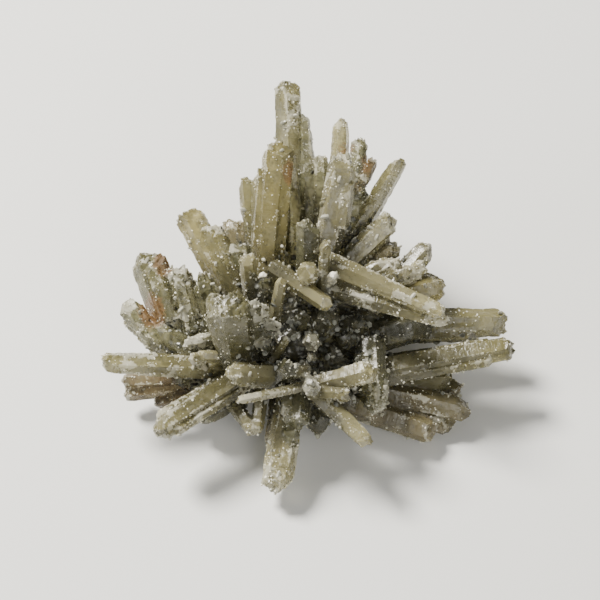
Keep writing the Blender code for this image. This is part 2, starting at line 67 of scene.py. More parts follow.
# name: foot, tip, width at foot, width at tip, tint, and how much white sugar sits on it
crystals = {
    "spire": ((-1.4, 8, -8), (-2.7, 49.6, -7), 6.4, 4.8, "olive", 0.6),
    "spireShoulder": ((2.2, 10, -6), (0.3, 43.4, -6.5), 6.6, 2.2, "grey", 0.5),
    "spireHeel": ((3.4, 10, -6), (3.3, 35.8, -5.5), 5.6, 2.6, "grey", 0.5),
    "amber": ((-6.6, 10, 1), (-4.3, 37.9, 0), 5.2, 5.4, "amber", 0.35),
    "amberFlank": ((-7.6, 10, -3), (-8.4, 31.4, -3), 3.6, 2.2, "olive", 0.3),
    "amberShade": ((-7.8, 10, -4), (-10.6, 31.3, -4), 4.2, 2.6, "olive", 0.35),
    "paleLeaner": ((3.2, 12, 2), (7.8, 35.2, 3), 4.6, 5.4, "pale", 0.6),
    "highFinger": ((6.4, 14, -5), (7.3, 42.7, -7), 4.6, 2.8, "pale", 0.4),
    "rustTooth": ((7.6, 14, -4), (10.8, 38.6, -4), 4.8, 3.4, "grey", 0.5),
    "rustSpur": ((9.4, 26, -4), (13.4, 34.8, -2), 3.2, 1.8, "brown", 0.4),
    "farFinger": ((7.0, 16, -4), (18.6, 34.6, -2), 5.0, 2.8, "olive", 0.4),
    "brownBack": ((6.0, 12, -5), (11.2, 29.5, -4), 7.4, 4.2, "grey", 0.3),
    "paleRay": ((5.5, 13, 0), (16.8, 23.9, 1), 4.4, 3.2, "pale", 0.5),
    "paleRayLow": ((7, 12, 0), (16.0, 20.9, -1), 4.2, 2.2, "olive", 0.5),
    "roseRay": ((7.5, 11, -1), (17.6, 19.0, -1), 4.6, 2.8, "rose", 0.4),
    "grainRay": ((8, 9, 1), (18.4, 15.2, 2), 4.8, 4.0, "pale", 0.8),
    "ringRay": ((10, 10, 2), (23.1, 14.7, 3), 3.2, 2.6, "pale", 0.6),
    "gableRay": ((11, 5, -2), (23.9, 18.8, -2), 5.6, 3.6, "olive", 0.4),
    "sawRay": ((10, 7, -3), (26.9, 11.4, -3), 7.0, 4.2, "amber", 0.3),
    "whiteKnob": ((14, 7, 0), (22.2, 8.6, 3), 3.6, 2.2, "pale", 0.9),
    "longUpper": ((4.2, 15.2, 6), (26.2, 5.7, 12), 4.6, 2.8, "pale", 0.5),
    "longLower": ((3.5, 11, 5), (26.6, 4.3, 11), 4.2, 2.6, "olive", 0.55),
    "rightUpperBeam": ((9, 3.5, -5), (38.3, 4.2, -5), 6.4, 4.8, "olive", 0.35),
    "rightLowerBeam": ((9, -6, 0), (39.4, -0.4, 0), 6.6, 4.6, "olive", 0.4),
    "rightWedge": ((5, 0, -3), (24.0, 4.2, 0), 8.0, 5.6, "dark", 0.15),
    "rightUnderBeam": ((8, -6, -3), (28.2, -6.4, -3), 6.0, 4.4, "olive", 0.2),
    "slabHigh": ((6, -7, -2), (31.3, -12.6, -2), 6.0, 4.6, "rose", 0.6),
    "slabLow": ((5, -9.5, -1), (24.8, -16.6, 0), 5.6, 4.4, "rose", 0.6),
    "slabBack": ((7, -6, -5), (29.8, -8.8, -6), 5.8, 4.0, "rose", 0.45),
    "slabFill": ((6, -9, -2), (28.4, -15.0, -3), 5.6, 4.4, "rose", 0.55),
    "bottomTooth": ((-1.6, -5, 2), (-4.9, -27.3, 8), 5.0, 5.6, "pale", 0.75),
    "bottomRidge": ((-0.4, -4, 3), (-1.4, -15.4, 8), 5.6, 5.0, "grey", 0.4),
    "bottomRose": ((-3.5, -5, 0), (-5.6, -18.4, 4), 3.6, 2.8, "rose", 0.2),
    "bottomFill": ((1.0, -4, 0), (3.6, -16.8, 1), 6.0, 4.6, "dark", 0.3),
    "veeLeft": ((-14.0, -8.5, 2), (-8.4, -16.6, 6), 3.2, 2.4, "pale", 0.3),
    "veeRight": ((-7.4, -6, 2), (-8.3, -16.4, 6), 3.0, 2.2, "pale", 0.3),
    "lowPrism": ((1.8, -8.0, 7), (12.5, -18.1, 12), 3.4, 2.8, "pale", 0.25),
    "lowRung": ((2.2, -7.0, 9), (-12.0, -9.9, 13), 2.2, 1.7, "pale", 0.5),
    "lowPeg": ((1.2, -8.4, 9), (8.8, -9.0, 11), 2.6, 2.2, "pale", 0.3),
    "lowEye": ((1.2, -6.4, 0), (1.7, -7.7, 16), 3.6, 3.0, "glass", 0.3),
    "lowClub": ((1.0, -5.2, 6), (-13.7, -4.9, 13), 3.4, 4.2, "pale", 0.35),
    "lowCleaver": ((2.0, -7.4, 7), (13.5, -4.3, 12), 3.6, 4.2, "pale", 0.4),
    "lowChisel": ((-6.0, -6.8, 6), (-1.6, -3.4, 13), 3.6, 3.4, "dark", 0.3),
    "lowPendant": ((12.6, 1, 2), (13.3, -12.4, 8), 5.2, 4.4, "grey", 0.6),
    "hexEye": ((1.6, 1.5, -3), (1.9, 0.3, 12), 3.4, 2.9, "glass", 0.2),
    "hexEyeSmall": ((1.4, -1.8, -3), (1.8, -2.4, 6), 2.4, 1.8, "glass", 0.2),
    "matchLow": ((-7.0, -5, 4), (-2.7, 1.6, 9), 1.9, 1.6, "pale", 0.15),
    "matchHigh": ((-5.2, 4, 5), (-3.7, 12.3, 11), 2.4, 1.8, "pale", 0.3),
    "crossPrism": ((-5.5, 14.4, 6), (5.2, 7.0, 10), 3.2, 2.8, "pale", 0.2),
    "darkStub": ((1.0, 0.5, -2), (5.4, 6.4, 7), 6.6, 4.6, "dark", 0.2),
    "darkShelf": ((0.5, 2, -3), (0.2, 6.2, 5), 5.4, 4.0, "dark", 0.2),
    "darkSlab": ((2, 0, -6), (8.2, -3.0, 3), 8.0, 6.0, "dark", 0.2),
    "greyBlock": ((6, 0, -6), (10.6, 4.6, 5), 7.4, 5.4, "dark", 0.35),
    "grainEye": ((1.4, 9, -1), (1.0, 14.2, 12), 4.4, 3.6, "pale", 0.5),
    "glassTooth": ((1.2, 8, 1), (0.8, 23.4, 8), 4.6, 3.4, "grey", 0.3),
    "palePost": ((3.8, 7, 5), (4.2, 19.2, 11), 2.3, 1.9, "pale", 0.6),
    "milkBead": ((4.4, 11, 3), (5.8, 12.9, 11), 2.4, 1.9, "milk", 0.9),
    "capStub": ((-8.8, 7, 1), (-10.2, 16.4, 8), 3.8, 3.0, "pale", 0.3),
    "leftKnot": ((-5, 4, -3), (-7.4, 12.2, 7), 4.6, 3.2, "grey", 0.5),
    "block": ((-10.8, -7.5, 1), (-13.4, 9.4, 17), 4.6, 9.2, "moss", 0.22),
    "blockCheek": ((-12.0, -6, 2), (-16.0, 9.4, 15), 3.6, 4.4, "moss", 0.28),
    "blockShoulder": ((-9.5, -3, 4), (-8.6, 8.2, 14), 4.0, 4.6, "grey", 0.9),
    "blockSide": ((-8.6, 1, 2), (-5.6, 3.6, 11), 4.6, 4.2, "dark", 0.5),
    "blockToe": ((-8.4, -3, 2), (-6.2, 0.2, 9), 3.2, 2.6, "dark", 0.4),
    "bladeLeft": ((-9.5, 4, -4), (-21.3, 25.0, -4), 5.6, 4.6, "amber", 0.4),
    "bladeRight": ((-8.4, 4, -3), (-17.4, 22.4, -2), 6.4, 4.0, "olive", 0.5),
    "roseBack": ((-6.5, 8, -7), (-14.6, 23.3, -8), 4.4, 3.6, "rose", 0.4),
    "roseSide": ((-6.4, 8, -5), (-11.6, 22.9, -5), 4.2, 3.0, "rose", 0.4),
    "fillSide": ((-6.0, 6, -2), (-12.4, 18.8, 0), 5.0, 3.6, "grey", 0.5),
    "rustPillar": ((-21.5, -4, -4), (-29.2, 17.3, -2), 6.2, 6.2, "moss", 0.3),
    "whiteCap": ((-17.5, -4, -2), (-23.5, 14.8, 0), 5.4, 4.4, "grey", 0.9),
    "whiteCapSmall": ((-14.5, -2, 0), (-18.7, 13.8, 4), 4.8, 3.8, "grey", 0.9),
    "leftThumb": ((-20, -6, -1), (-33.2, 7.9, 0), 6.0, 4.0, "grey", 0.8),
    "leftHeel": ((-16, -4, 0), (-28.2, 3.2, 1), 5.0, 3.6, "grey", 0.7),
    "leftBeam": ((-8, -4.2, 2), (-37.0, -3.1, 5), 5.0, 3.8, "olive", 0.6),
    "leftBeamBead": ((-18, -3, 3), (-20.0, -2.2, 9), 2.8, 2.2, "pale", 0.5),
    "leftRung": ((-11, -2, 5), (-19.2, -1.9, 8), 2.4, 2.0, "pale", 0.7),
    "leftLog": ((-10, 2.6, 2), (-22.2, 0.2, 4), 2.8, 2.2, "grey", 0.8),
    "brownHigh": ((-10, -5.6, -3), (-33.8, -6.8, -3), 3.8, 2.6, "brown", 0.35),
    "brownLow": ((-10, -6, -4), (-33.3, -9.4, -4), 3.8, 2.6, "brown", 0.35),
    "brownFill": ((-9, -6, -2), (-27.5, -11.2, 0), 4.0, 2.8, "brown", 0.3),
    "mitten": ((-8, -4.2, 3), (-26.6, -15.7, 10), 5.2, 4.4, "olive", 0.55),
    "mittenShade": ((-8, -6.2, -1), (-19.9, -14.2, 1), 5.2, 3.6, "dark", 0.4),
    "backLeft": ((0, 3, -6), (-17, 13.5, -13), 7.0, 5.0, "olive", 0.4),
    "backLeftHigh": ((0, 4, -6), (-9, 20, -16), 6.6, 4.4, "olive", 0.4),
    "backMiddle": ((1, 4, -6), (1, 24, -18), 7.0, 5.0, "olive", 0.4),
    "backRightHigh": ((2, 4, -6), (9.5, 20.5, -15), 6.6, 4.2, "olive", 0.4),
    "backRight": ((2, 3, -6), (16, 13, -13), 6.6, 4.8, "olive", 0.4),
    "backFarRight": ((3, 1, -6), (21.5, 4.6, -10), 6.2, 4.6, "olive", 0.4),
    "backFarLeft": ((-3, 1, -6), (-21.5, 4.6, -10), 6.2, 4.4, "olive", 0.4),
    "backLowLeft": ((-3, 0, -6), (-19.5, -2.6, -8), 5.4, 4.2, "olive", 0.4),
    "backSpire": ((-2, 8, -8), (-4.4, 31, -13), 5.8, 4.0, "olive", 0.4),
    "backFinger": ((3, 8, -8), (5.2, 29.5, -13), 5.4, 3.6, "olive", 0.4),
    "backStubLeft": ((0, 4, -8), (-8, 14.5, -18), 8.0, 6.4, "olive", 0.4),
    "backStubRight": ((0, 4, -8), (8, 13.5, -18), 8.0, 6.0, "olive", 0.4),
}

# linear colours of the quartz itself; 'dark' goes on crystals set deep under or between others and is
# partly painted shade
tints = {
    "olive": (0.240, 0.216, 0.094),
    "amber": (0.330, 0.285, 0.115),
    "pale": (0.385, 0.350, 0.185),
    "grey": (0.195, 0.188, 0.100),
    "brown": (0.190, 0.138, 0.070),
    "rose": (0.262, 0.220, 0.118),
    "moss": (0.160, 0.150, 0.070),
    # partly painted shade on the crystals that lie deep under or between others
    "dark": (0.088, 0.086, 0.050),
    "milk": (0.74, 0.71, 0.59),
    "glass": (0.40, 0.39, 0.31),
}

# crystals whose surface is knobbly all over, and how many times rougher than the rest
roughCrystals = {
    "block": 1.25,
    "blockCheek": 1.3,
    "blockShoulder": 2.4,
    "blockSide": 1.8,
    "whiteCap": 2.0,
    "whiteCapSmall": 2.2,
    "leftThumb": 1.8,
    "leftHeel": 1.8,
    "grainRay": 2.0,
    "whiteKnob": 1.8,
    "leftLog": 1.6,
    "leftKnot": 1.8,
    "rustTooth": 1.8,
    "rustSpur": 1.6,
    "bottomTooth": 1.5,
    "lowPendant": 1.5,
    "bladeRight": 1.4,
    "spireShoulder": 1.5,
    "spireHeel": 1.5,
    "brownBack": 1.5,
}

# crystals that stand clean and glassy in the dark middle
cleanCrystals = (
    "hexEye", "hexEyeSmall", "lowEye", "matchLow", "matchHigh", "crossPrism", "palePost", "grainEye",
)


# centre and radii on the open face, in millimetres, then strength
rustSpots = [
    ((-25.6, 15.0, 0), (2.1, 2.6, 6), 1.0),
    ((-27.8, 6.0, 0), (2.6, 3.6, 6), 1.0),
    ((-2.6, 31.8, 0), (1.2, 2.6, 5), 1.0),
    ((8.2, 36.6, -4), (2.0, 1.5, 6), 0.72),
    ((11.8, 33.4, -3), (1.6, 2.2, 5), 0.72),
    ((10.4, 29.4, -3), (2.0, 1.6, 5), 0.6),
    ((-26.0, -8.6, -2), (5.0, 2.4, 5), 0.45),
    ((-19.0, 14.0, 0), (3.2, 2.6, 6), 0.6),
    ((-23.0, 7.0, 1), (2.0, 3.0, 4), 0.3),
]
darkSpots = [
    ((3.5, 2.0, 2), (9.0, 7.5, 7), 1.1),
    ((9.5, 2.0, 2), (4.5, 6.0, 7), 0.7),
    ((-5.0, -2.0, 3), (4.5, 4.0, 6), 0.85),
    ((0.0, -11.0, 3), (6.0, 5.0, 6), 0.7),
    ((7.0, -11.0, 2), (5.0, 3.0, 6), 0.6),
    ((-13.0, -11.0, 1), (4.0, 3.0, 5), 0.7),
    ((7.5, 20.0, 0), (3.0, 3.5, 6), 0.6),
    ((7.0, 6.5, 5), (3.0, 2.0, 5), 0.7),
    ((-7.5, 8.0, 3), (3.0, 4.0, 5), 0.5),
]

# a Noise or Cells pair says how wide the lumps or cells are, in millimetres, and where they are read
body = {
    "gridScale": 0.6,
    "gridDepth": 8,
    "weld": 0.002 * mm,
    "mendTurns": 12,
    "smallestShell": 500,
    "creaseAngle": math.radians(28),
    "turnStart": (0.31, 0.22, 0.92),
    "spotReach": 1.6,
    "shadeRays": 12,
    "shadeReach": 9 * mm,
    "shadeSpread": 2,
    "raysApart": 0.85,
    "rayLift": 0.05 * mm,
    "rayLean": 0.1,
    "ownShift": 7.3,
    "rib": 0.10 * mm,
    "ribStretch": 0.16,
    "ribNoise": (0.9, 0.0),
    "lump": 0.15 * mm,
    "lumpNoise": (2.2, 0.0),
    "smallLump": 0.5,
    "smallLumpNoise": (2.2 * 0.4, 5.0),
    "lumpBase": 0.5,
    "lumpOnCrust": 0.7,
    "knob": 0.19 * mm,
    "knobLevel": 0.45,
    "knobCells": (1.1, 4.0),
    "tipBite": 0.40 * mm,
    "tipReach": 1.1,
    "biteCells": (0.9, 2.0),
    "scale": 0.26 * mm,
    "scaleCells": (0.7, 9.0),
    "edgeChip": 0.14 * mm,
    "chipNoise": (0.8, 3.0),
    "chipRange": (-1, 0.2),
    "crustFromDark": 0.85,
    "crustFromShade": 0.95,
    "crustShadeStart": 0.48,
    "cleanCrust": 0.3,
    "cleanWear": 0.25,
    "wearFade": 0.6 * mm,
    "strewnFade": 1.2 * mm,
    "seed": 7,
}
paint = {
    "tones": (0.85, 1.15),
    "footBrightness": 0.50,
    "tipGain": 0.68,
    "tipCurve": 1.2,
    "hollowStart": 0.25,
    "hollowSpan": 0.6,
    "hollowShade": 0.30,
    "sugarBase": 0.75,
    "wideClumps": 1.9,
    "wideClumpNoise": (3.4, 6.0),
    "smallClumps": 0.8,
    "smallClumpNoise": (1.3, 2.0),
    "clumpRange": (0.06, 2.2),
    "sugarLostInDark": 0.55,
    "sugarLostInShade": 0.5,
}


def openEdges(bm):
    return [edge for edge in bm.edges if len(edge.link_faces) != 2]


def closeMesh(bm):
    # where sheets meet along one edge, the faces round it go and the hole is closed again
    for turn in range(body["mendTurns"]):
        bad = openEdges(bm)
        if not bad:
            break
        for face in bm.faces:
            face.tag = False
        for edge in bad:
            for vert in edge.verts:
                for face in vert.link_faces:
                    face.tag = True
        bmesh.ops.delete(bm, geom=[face for face in bm.faces if face.tag], context="FACES")
        bmesh.ops.delete(bm, geom=[edge for edge in bm.edges if not edge.link_faces], context="EDGES")
        bmesh.ops.delete(bm, geom=[vert for vert in bm.verts if not vert.link_edges], context="VERTS")
        rim = [edge for edge in bm.edges if len(edge.link_faces) == 1]
        bmesh.ops.holes_fill(bm, edges=rim, sides=0)
        bmesh.ops.triangulate(bm, faces=[face for face in bm.faces if len(face.verts) > 4])
    dropCrumbs(bm)
    bmesh.ops.recalc_face_normals(bm, faces=bm.faces)
    print("edges left open:", len(openEdges(bm)))


def dropCrumbs(bm):
    # keeps the one large shell
    for face in bm.faces:
        face.tag = False
    crumbFaces = []
    for first in bm.faces:
        if first.tag:
            continue
        first.tag = True
        shell = [first]
        for face in shell:
            for edge in face.edges:
                for other in edge.link_faces:
                    if not other.tag:
                        other.tag = True
                        shell.append(other)
        if len(shell) < body["smallestShell"]:
            crumbFaces += shell
    bmesh.ops.delete(bm, geom=crumbFaces, context="FACES")


def fineMesh():
    # a copy of the solid, cut finely enough to carry the etched surface, with its creases kept
    bm = bmesh.new()
    bm.from_mesh(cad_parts["quartz_cluster"].data)
    bmesh.ops.remove_doubles(bm, verts=bm.verts, dist=body["weld"])
    coarse = bpy.data.meshes.new("coarse crystals")
    bm.to_mesh(coarse)
    bm.free()
    holder = bpy.data.objects.new("coarse crystals", coarse)
    bpy.context.scene.collection.objects.link(holder)
    remesh = holder.modifiers.new("fine grid", "REMESH")
    remesh.mode = "SHARP"
    remesh.octree_depth = body["gridDepth"]
    remesh.scale = body["gridScale"]
    remesh.use_remove_disconnected = False
    ready = holder.evaluated_get(bpy.context.evaluated_depsgraph_get())
    mesh = bpy.data.meshes.new_from_object(ready)
    mesh.name = "quartz crystals"
    bpy.data.objects.remove(holder)
    bm = bmesh.new()
    bm.from_mesh(mesh)
    closeMesh(bm)
    ridge = bm.verts.layers.float.new("ridge")
    for edge in bm.edges:
        angle = edge.calc_face_angle_signed(0)
        edge.smooth = abs(angle) < body["creaseAngle"]
        if angle > body["creaseAngle"]:
            for vert in edge.verts:
                vert[ridge] = 1.0
    for face in bm.faces:
        face.smooth = True
    bm.to_mesh(mesh)
    bm.free()
    return mesh


def columns(rows, name, width):
    values = np.zeros(len(rows) * width, np.float32)
    rows.foreach_get(name, values)
    return values.reshape(-1, width)


def nearestCrystals(points):
    # for each point on the open face: its crystal, how far along and round it, and the crystal's length
    best = np.full(len(points), np.inf)
    owner = np.zeros(len(points), int)
    along = np.zeros(len(points))
    around = np.zeros(len(points))
    lengths = np.zeros(len(points))
    for index, row in enumerate(crystals.values()):
        foot, tip = np.array(row[0], float), np.array(row[1], float)
        footWidth, tipWidth = row[2:4]
        length = np.linalg.norm(tip - foot)
        axis = (tip - foot) / length
        offset = points - foot
        distance = offset @ axis
        share = np.clip(distance / length, 0, 1)
        radial = offset - np.outer(share * length, axis)
        radius = 0.5 * (footWidth + (tipWidth - footWidth) * share)
        score = np.linalg.norm(radial, axis=1) - radius
        side = np.cross(axis, body["turnStart"])
        side /= np.linalg.norm(side)
        angle = np.arctan2(radial @ np.cross(axis, side), radial @ side)
        closer = score < best
        best = np.where(closer, score, best)
        owner[closer] = index
        along[closer] = distance[closer]
        around[closer] = (angle * radius)[closer]
        lengths[closer] = length
    return owner, along, around, lengths


def spotMask(points, spots):
    mask = np.zeros(len(points))
    for centre, radii, strength in spots:
        far = np.linalg.norm((points - np.array(centre)) / np.array(radii), axis=1)
        mask = np.maximum(mask, strength * np.clip(body["spotReach"] - far, 0, 1))
    return mask


def shadeMask(mesh, points, normals):
    # how much of the open air each point misses, from a few rays that leave it
    rng = random.Random(body["seed"])
    rays = []
    while len(rays) < body["shadeRays"]:
        ray = Vector([rng.gauss(0, 1) for axis in range(3)]).normalized()
        if all(ray.dot(other) < body["raysApart"] for other in rays):
            rays.append(ray)
    tree = bvhtree.BVHTree.FromPolygons(
        [tuple(point) for point in points], [tuple(face.vertices) for face in mesh.polygons]
    )
    mask = np.zeros(len(points))
    for index, (point, normal) in enumerate(zip(points, normals)):
        start = Vector(point) + Vector(normal) * body["rayLift"]
        blocked = 0
        counted = 0
        for ray in rays:
            if ray.dot(normal) > body["rayLean"]:
                counted += 1
                if tree.ray_cast(start, ray, body["shadeReach"])[0] is not None:
                    blocked += 1
        mask[index] = blocked / max(counted, 1)
    return mask


def smoothed(mesh, values, rounds):
    # spreads a value to the neighbouring points
    edges = np.zeros(len(mesh.edges) * 2, np.int64)
    mesh.edges.foreach_get("vertices", edges)
    starts, ends = edges.reshape(-1, 2).T
    members = np.bincount(np.concatenate([starts, ends]), minlength=len(values)) + 1
    for step in range(rounds):
        total = values + np.bincount(starts, values[ends], len(values))
        total += np.bincount(ends, values[starts], len(values))
        values = total / members
    return values


def noiseAt(points, size, shift=0.0):
    # smooth noise between about -1 and 1, whose lumps are size wide in the units of the points
    lift = Vector((shift, -shift, 0.37 * shift))
    return np.array([noise.noise(Vector(point) / size + lift) for point in points])


def cellAt(points, size, shift=0.0):
    lift = Vector((shift, shift, -shift))
    return np.array([noise.cell(Vector(point) / size + lift) for point in points])


def onFace(world):
    # from metres in the world to millimetres on the open face
    toFace = np.array(faceToWorld.inverted())
    return (world @ toFace[:3, :3].T + toFace[:3, 3]) / mm


def perPoint(values, owner):
    # spreads one value for each crystal to the points that belong to it
    return np.array(list(values))[owner]


def wearDepth(points, owner, along, around, lengths, ridge, crustAndShade):
    # lengthwise ribs, worn lumps, knobs, bitten tips, scales where the dark crust and the painted shade
    # lie, chipped edges
    widths = perPoint((row[3] for row in crystals.values()), owner)
    rough = perPoint((roughCrystals.get(name, 1.0) for name in crystals), owner)
    streaks = np.stack([around, along * body["ribStretch"], owner * body["ownShift"]], axis=1)
    lump = noiseAt(points, *body["lumpNoise"])
    lump = lump + body["smallLump"] * noiseAt(points, *body["smallLumpNoise"])
    toTip = np.clip(1 - (lengths - along) / (body["tipReach"] * widths), 0, 1)
    bite = cellAt(points, *body["biteCells"]) - 0.5
    scales = cellAt(points, *body["scaleCells"]) - 0.5
    chips = np.clip(noiseAt(points, *body["chipNoise"]), *body["chipRange"])
    push = body["rib"] * noiseAt(streaks, *body["ribNoise"]) * rough
    push += body["lump"] * lump * (body["lumpBase"] + body["lumpOnCrust"] * crustAndShade) * rough
    push += body["knob"] * (rough - 1) * (cellAt(points, *body["knobCells"]) - body["knobLevel"])
    push += body["tipBite"] * toTip ** 2 * bite * rough ** 0.5
    push += body["scale"] * crustAndShade * scales
    push += body["edgeChip"] * ridge * chips
    return push


def quartzTintAndShade(owner, share, shade):
    # darker towards the foot and paler at the tip, with painted shade in the hollows
    rng = random.Random(body["seed"])
    tone = perPoint((rng.uniform(*paint["tones"]) for name in crystals), owner)
    tintAndShade = perPoint((tints[row[4]] for row in crystals.values()), owner) * tone[:, None]
    climb = np.clip(share * paint["tipCurve"], 0, 1) ** paint["tipCurve"]
    tintAndShade *= (paint["footBrightness"] + paint["tipGain"] * climb)[:, None]
    # painted shade: the colour is darkened where the rays are blocked
    paintedHollowShade = np.clip((shade - paint["hollowStart"]) / paint["hollowSpan"], 0, 1)
    tintAndShade *= (1 - paint["hollowShade"] * paintedHollowShade)[:, None]
    return tintAndShade


def sugarAmount(points, owner, dark, shade):
    sugar = perPoint((row[5] for row in crystals.values()), owner)
    clumps = paint["sugarBase"] + paint["wideClumps"] * noiseAt(points, *paint["wideClumpNoise"])
    clumps = clumps + paint["smallClumps"] * noiseAt(points, *paint["smallClumpNoise"])
    sugar = sugar * np.clip(clumps, *paint["clumpRange"])
    return sugar * (1 - paint["sugarLostInDark"] * dark) * (1 - paint["sugarLostInShade"] * shade)


def setLayer(mesh, name, kind, key, values):
    layer = mesh.attributes.new(name, kind, "POINT")
    layer.data.foreach_set(key, values.astype(np.float32).ravel())


def makeBody():
    mesh = fineMesh()
    total = len(mesh.vertices)
    print("fine mesh:", total, "points", len(mesh.polygons), "faces")
    world = columns(mesh.vertices, "co", 3).astype(float)
    normals = columns(mesh.vertex_normals, "vector", 3).astype(float)
    ridge = columns(mesh.attributes["ridge"].data, "value", 1)[:, 0]
    points = onFace(world)
    owner, along, around, lengths = nearestCrystals(points)
    rust = spotMask(points, rustSpots)
    dark = spotMask(points, darkSpots)
    shade = smoothed(mesh, shadeMask(mesh, world, normals), body["shadeSpread"])
    print("shade done")

    clean = perPoint((name in cleanCrystals for name in crystals), owner)
    share = np.clip(along / np.maximum(lengths, 1), 0, 1)
    # dark crust on the dark spots, plus painted shade where the rays are blocked
    crustAndShade = dark * body["crustFromDark"] + (shade - body["crustShadeStart"]) * body["crustFromShade"]
    crustAndShade = np.clip(crustAndShade, 0, 1) * np.where(clean, body["cleanCrust"], 1.0)
    push = wearDepth(points, owner, along, around, lengths, ridge, crustAndShade)
    # nothing swells through the flat break
    lowest = cadBox[0].z
    onBreak = np.clip((world[:, 2] - lowest) / body["wearFade"], 0, 1)
    push *= np.where(clean, body["cleanWear"], 1.0)
    world += normals * (push * onBreak)[:, None]
    world[:, 2] = np.maximum(world[:, 2], lowest)
    mesh.vertices.foreach_set("co", world.astype(np.float32).ravel())

    # nothing is strewn on or near the flat break
    clearOfBreak = np.clip((world[:, 2] - lowest) / body["strewnFade"] - 1, 0, 1)
    sugar = sugarAmount(points, owner, dark, shade) * clearOfBreak
    colour = np.concatenate([quartzTintAndShade(owner, share, shade), np.ones((total, 1))], axis=1)
    streak = np.stack([around, along, owner * body["ownShift"]], axis=1)
    setLayer(mesh, "tintAndShade", "FLOAT_COLOR", "color", colour)
    setLayer(mesh, "rust", "FLOAT", "value", rust)
    setLayer(mesh, "crustAndShade", "FLOAT", "value", crustAndShade * clearOfBreak)
    setLayer(mesh, "sugar", "FLOAT", "value", sugar)
    # edge: the convex ridges, which the material whitens as wear and as a painted edge highlight
    setLayer(mesh, "edge", "FLOAT", "value", smoothed(mesh, ridge.astype(float), 1))
    setLayer(mesh, "streak", "FLOAT_VECTOR", "vector", streak)
    mesh.update()
    piece = bpy.data.objects.new("quartz_crystals", mesh)
    bpy.context.scene.collection.objects.link(piece)
    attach(piece, "root")
    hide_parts("quartz_cluster")
    return piece


def newMaterial(name):
    material = bpy.data.materials.new(name)
    material.use_nodes = True
    return material, material.node_tree.nodes["Principled BSDF"]


def setSockets(shader, values):
    for name, value in values.items():
        shader.inputs[name].default_value = value


def objectPlace(tree):
    return tree.nodes.new("ShaderNodeTexCoord").outputs["Object"]


def attribute(tree, name):
    node = tree.nodes.new("ShaderNodeAttribute")
    node.attribute_name = name
    return node


def math2(tree, operation, a, b, clamp=False):
    node = tree.nodes.new("ShaderNodeMath")
    node.operation = operation
    node.use_clamp = clamp
    for socket, value in zip(node.inputs, (a, b)):
        if isinstance(value, (int, float)):
            socket.default_value = value
        else:
            tree.links.new(value, socket)
    return node.outputs[0]


def mixColour(tree, factor, a, b, blend="MIX"):
    node = tree.nodes.new("ShaderNodeMix")
    node.data_type = "RGBA"
    node.blend_type = blend
    for socket, value in ((node.inputs[0], factor), (node.inputs[6], a), (node.inputs[7], b)):
        if isinstance(value, tuple):
            socket.default_value = (*value, 1)
        elif isinstance(value, (int, float)):
            socket.default_value = value
        else:
            tree.links.new(value, socket)
    return node.outputs[2]


def times(tree, a, b):
    return math2(tree, "MULTIPLY", a, b)


def plus(tree, a, b):
    return math2(tree, "ADD", a, b)


def noiseNode(tree, coordinates, scale, detail=3, roughness=0.55):
    node = tree.nodes.new("ShaderNodeTexNoise")
    tree.links.new(coordinates, node.inputs["Vector"])
    node.inputs["Scale"].default_value = scale
    node.inputs["Detail"].default_value = detail
    node.inputs["Roughness"].default_value = roughness
    return node.outputs[0]


def cellNode(tree, coordinates, scale):
    node = tree.nodes.new("ShaderNodeTexVoronoi")
    tree.links.new(coordinates, node.inputs["Vector"])
    node.inputs["Scale"].default_value = scale
    return node.outputs[0]


def stretched(tree, coordinates, scale):
    node = tree.nodes.new("ShaderNodeMapping")
    tree.links.new(coordinates, node.inputs["Vector"])
    node.inputs["Scale"].default_value = scale
    return node.outputs[0]


def ramp(tree, value, low, high):
    node = tree.nodes.new("ShaderNodeMapRange")
    node.clamp = True
    node.interpolation_type = "SMOOTHSTEP"
    tree.links.new(value, node.inputs[0])
    node.inputs[1].default_value = low
    node.inputs[2].default_value = high
    return node.outputs[0]


